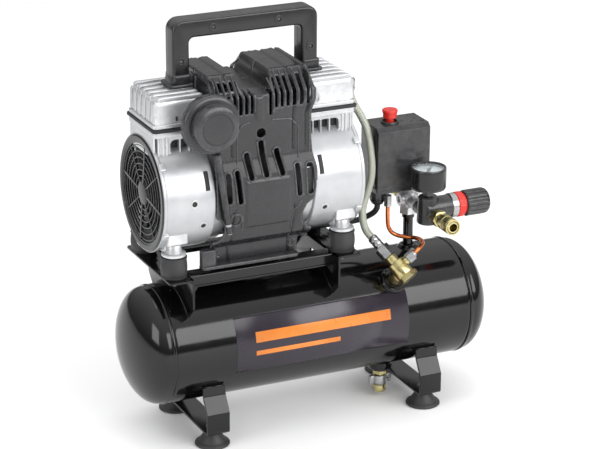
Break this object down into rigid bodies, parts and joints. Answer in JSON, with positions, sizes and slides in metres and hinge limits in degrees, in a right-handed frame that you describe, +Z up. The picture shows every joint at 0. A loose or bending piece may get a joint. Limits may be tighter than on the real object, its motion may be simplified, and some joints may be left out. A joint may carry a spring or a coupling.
{
  "type": "air compressor",
  "caption": "Portable oil-free air compressor: twin-cylinder pump with carry handle on a small horizontal tank, with pressure switch, gauge, regulator and quick coupler.",
  "frame": {"origin": "on the floor, under the middle of the whole object", "axes": "+X along the tank towards the pressure switch end, +Y towards the back, +Z up"},
  "size_m": [0.4574, 0.1841, 0.497],
  "materials": {
    "tank_paint": "gloss",
    "steel_paint": "gloss",
    "rubber": "matt",
    "cast_aluminium": "satin cast",
    "gasket": "matt",
    "shroud_plastic": "fine grain",
    "black_plastic": "fine grain",
    "steel": "zinc plated",
    "laminations": "dull",
    "braid": "braided wire",
    "brass": "satin",
    "copper": "drawn tube",
    "red_plastic": "satin",
    "gauge_glass": "clear",
    "cable_jacket": "matt"
  },
  "bodies": {
    "root": {"tank_barrel": "tank_paint", "tank_end_left": "tank_paint", "tank_end_right": "tank_paint", "foot_bracket_left": "steel_paint", "foot_bracket_right": "steel_paint", "pump_saddle": "steel_paint", "stand_pipe": "steel_paint", "rubber_foot_front_left": "rubber", "rubber_foot_rear_left": "rubber", "rubber_foot_front_right": "rubber", "rubber_foot_rear_right": "rubber", "rubber_mount_front_left": "rubber", "rubber_mount_rear_left": "rubber", "rubber_mount_front_right": "rubber", "rubber_mount_rear_right": "rubber", "crankcase_left": "cast_aluminium", "crankcase_right": "cast_aluminium", "cylinder_head_left": "cast_aluminium", "cylinder_head_right": "cast_aluminium", "manifold": "cast_aluminium", "valve_plate_left": "gasket", "valve_plate_right": "gasket", "shroud_front": "shroud_plastic", "shroud_rear": "shroud_plastic", "intake_filter_base": "shroud_plastic", "intake_filter_cap": "shroud_plastic", "fan_grille_left": "black_plastic", "fan_grille_right": "black_plastic", "handle_front": "black_plastic", "handle_rear": "black_plastic", "breather_tube": "black_plastic", "switch_cover": "black_plastic", "switch_base": "black_plastic", "regulator_body": "black_plastic", "gauge_case": "black_plastic", "head_link_tube": "steel", "hose_elbow": "steel", "hose_nut": "steel", "motor_stator": "laminations", "delivery_hose": "braid", "check_valve_body": "brass", "safety_valve_body": "brass", "coupler_body": "brass", "drain_valve_body": "brass", "unloader_tube": "copper", "regulator_collar": "red_plastic", "gauge_lens": "gauge_glass", "motor_lead": "cable_jacket"},
    "shaft": {"motor_shaft": "steel", "cooling_fan_left": "black_plastic", "cooling_fan_right": "black_plastic"},
    "piston_left": {"piston_left": "steel"},
    "piston_right": {"piston_right": "steel"},
    "power_knob": {"on_off_knob": "red_plastic"},
    "needle": {"gauge_needle": "black_plastic"},
    "regulator_stem": {"regulator_stem": "steel"},
    "regulator_knob": {"regulator_knob": "black_plastic"},
    "coupler_sleeve": {"coupler_sleeve": "brass"},
    "drain_wing": {"drain_wing": "steel"},
    "safety_ring": {"safety_valve_ring": "steel"}
  },
  "joints": [
    {"name": "motor_spin", "type": "hinge", "parent": "root", "child": "shaft", "pos_m": [-0.0772, 0.016, 0.2987], "axis": [1, 0, 0], "continuous": true},
    {"name": "piston_left_stroke", "type": "slide", "parent": "root", "child": "piston_left", "axis": [0, 0, 1], "range_m": [0, 0.014]},
    {"name": "piston_right_stroke", "type": "slide", "parent": "root", "child": "piston_right", "axis": [0, 0, 1], "range_m": [0, 0.014]},
    {"name": "power_knob_push", "type": "slide", "parent": "root", "child": "power_knob", "axis": [0, 0, 1], "range_m": [-0.006, 0]},
    {"name": "gauge_needle_turn", "type": "hinge", "parent": "root", "child": "needle", "pos_m": [0.1378, -0.034, 0.293], "axis": [0, 0, 1], "range_deg": [-270, 0], "stiffness_Nm_per_rad": 0.0001},
    {"name": "regulator_turn", "type": "hinge", "parent": "root", "child": "regulator_stem", "pos_m": [0.1378, -0.034, 0.246], "axis": [1, 0, 0], "range_deg": [-720, 720]},
    {"name": "regulator_unlock", "type": "slide", "parent": "regulator_stem", "child": "regulator_knob", "axis": [1, 0, 0], "range_m": [0, 0.003]},
    {"name": "coupler_release", "type": "slide", "parent": "root", "child": "coupler_sleeve", "axis": [0, 1, 0], "range_m": [0, 0.004], "stiffness_N_per_m": 1200},
    {"name": "drain_turn", "type": "hinge", "parent": "root", "child": "drain_wing", "pos_m": [0.0955, 0, 0.024], "axis": [0, 0, 1], "range_deg": [0, 360]},
    {"name": "safety_ring_pull", "type": "slide", "parent": "root", "child": "safety_ring", "axis": [0, 1, 0], "range_m": [0, 0.003], "stiffness_N_per_m": 1200}
  ]
}
